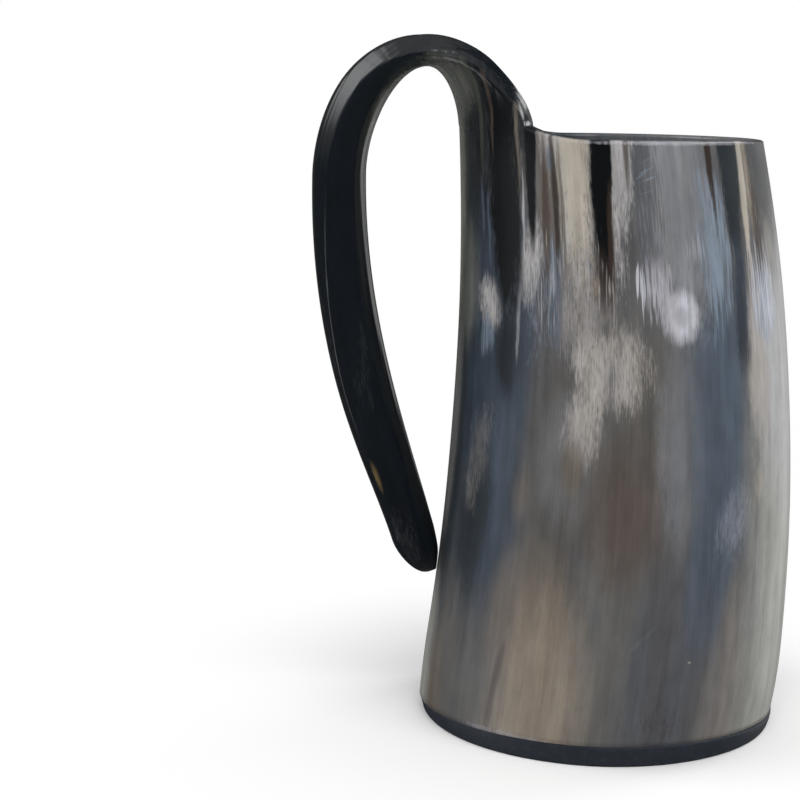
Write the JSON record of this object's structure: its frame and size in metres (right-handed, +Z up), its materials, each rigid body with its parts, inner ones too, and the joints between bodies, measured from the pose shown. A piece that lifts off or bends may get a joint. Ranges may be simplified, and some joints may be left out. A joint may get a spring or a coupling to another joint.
{
  "type": "horn tankard",
  "caption": "Drinking tankard cut from cow horn, with the horn's tip bent over into a handle and the wide end closed by a glued-in black disc.",
  "frame": {"origin": "middle of the underside of the base", "axes": "+Z up out of the mouth, -X toward the handle, Y across the handle"},
  "size_m": [0.1199, 0.0896, 0.1687],
  "materials": {
    "horn": "polished cow horn, streaked grey, cream and black",
    "base_paint": "wood painted matt black",
    "seal": "cured clear glue, amber in the thick"
  },
  "bodies": {
    "root": {"horn": "horn", "base_disc": "base_paint", "base_seal": "seal"}
  },
  "joints": []
}
